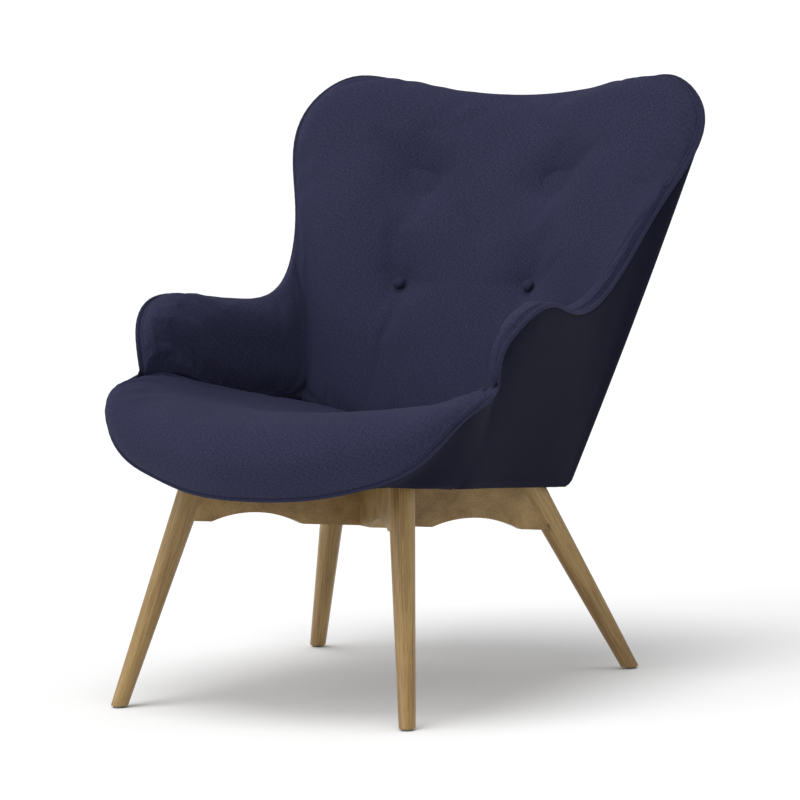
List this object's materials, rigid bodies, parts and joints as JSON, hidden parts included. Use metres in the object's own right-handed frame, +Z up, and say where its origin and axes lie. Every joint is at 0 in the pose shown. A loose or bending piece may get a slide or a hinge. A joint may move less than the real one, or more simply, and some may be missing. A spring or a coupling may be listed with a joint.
{
  "type": "wing armchair",
  "caption": "Fixed lounge armchair: upholstered contour shell with wings and low arms, tufted back, and a crossed wooden frame on splayed tapered legs.",
  "frame": {"origin": "on the floor, under the middle of the whole chair's box", "axes": "+Z up; the sitter faces -Y; +X is the sitter's left"},
  "size_m": [0.7604, 0.8788, 0.9211],
  "materials": {
    "inner_fabric": "navy woven cloth, matt, fine heathered weave",
    "outer_fabric": "navy woven cloth, matt, fine heathered weave",
    "welt_fabric": "navy cloth wrapped round piping cord",
    "oak_leg": "turned light hardwood, satin clear lacquer",
    "oak_rail": "sawn light hardwood, satin clear lacquer",
    "plywood": "sanded plywood, raw",
    "moulded_shell": "moulded plywood, raw",
    "dowel_wood": "plain hardwood",
    "foam": "open cell upholstery foam with wadding",
    "lining": "black non-woven cloth",
    "twine": "waxed tufting twine",
    "zinc_steel": "zinc plated",
    "bolt_steel": "dark zinc plated",
    "grey_plastic": "moulded nylon",
    "white_plastic": "moulded nylon"
  },
  "bodies": {
    "root": {"outer_cover": "outer_fabric", "front_band": "outer_fabric", "inner_cover": "inner_fabric", "seat_cover": "inner_fabric", "back_welt": "welt_fabric", "seat_welt": "welt_fabric", "button_upper_left": "inner_fabric", "button_upper_right": "inner_fabric", "button_lower_left": "inner_fabric", "button_lower_right": "inner_fabric", "button_twines": "twine", "button_anchors": "white_plastic", "shell_frame": "moulded_shell", "arm_foam_left": "foam", "arm_foam_right": "foam", "back_foam": "foam", "seat_foam": "foam", "base_board": "plywood", "dust_cover": "lining", "cover_staples": "zinc_steel", "leg_front_left": "oak_leg", "leg_front_right": "oak_leg", "leg_rear_left": "oak_leg", "leg_rear_right": "oak_leg", "rail_left_front": "oak_rail", "rail_right_front": "oak_rail", "leg_dowels": "dowel_wood", "lap_screw": "bolt_steel", "frame_bolts": "bolt_steel", "frame_washers": "zinc_steel", "board_nuts": "zinc_steel", "foot_glides": "grey_plastic", "glide_nails": "zinc_steel"}
  },
  "joints": []
}
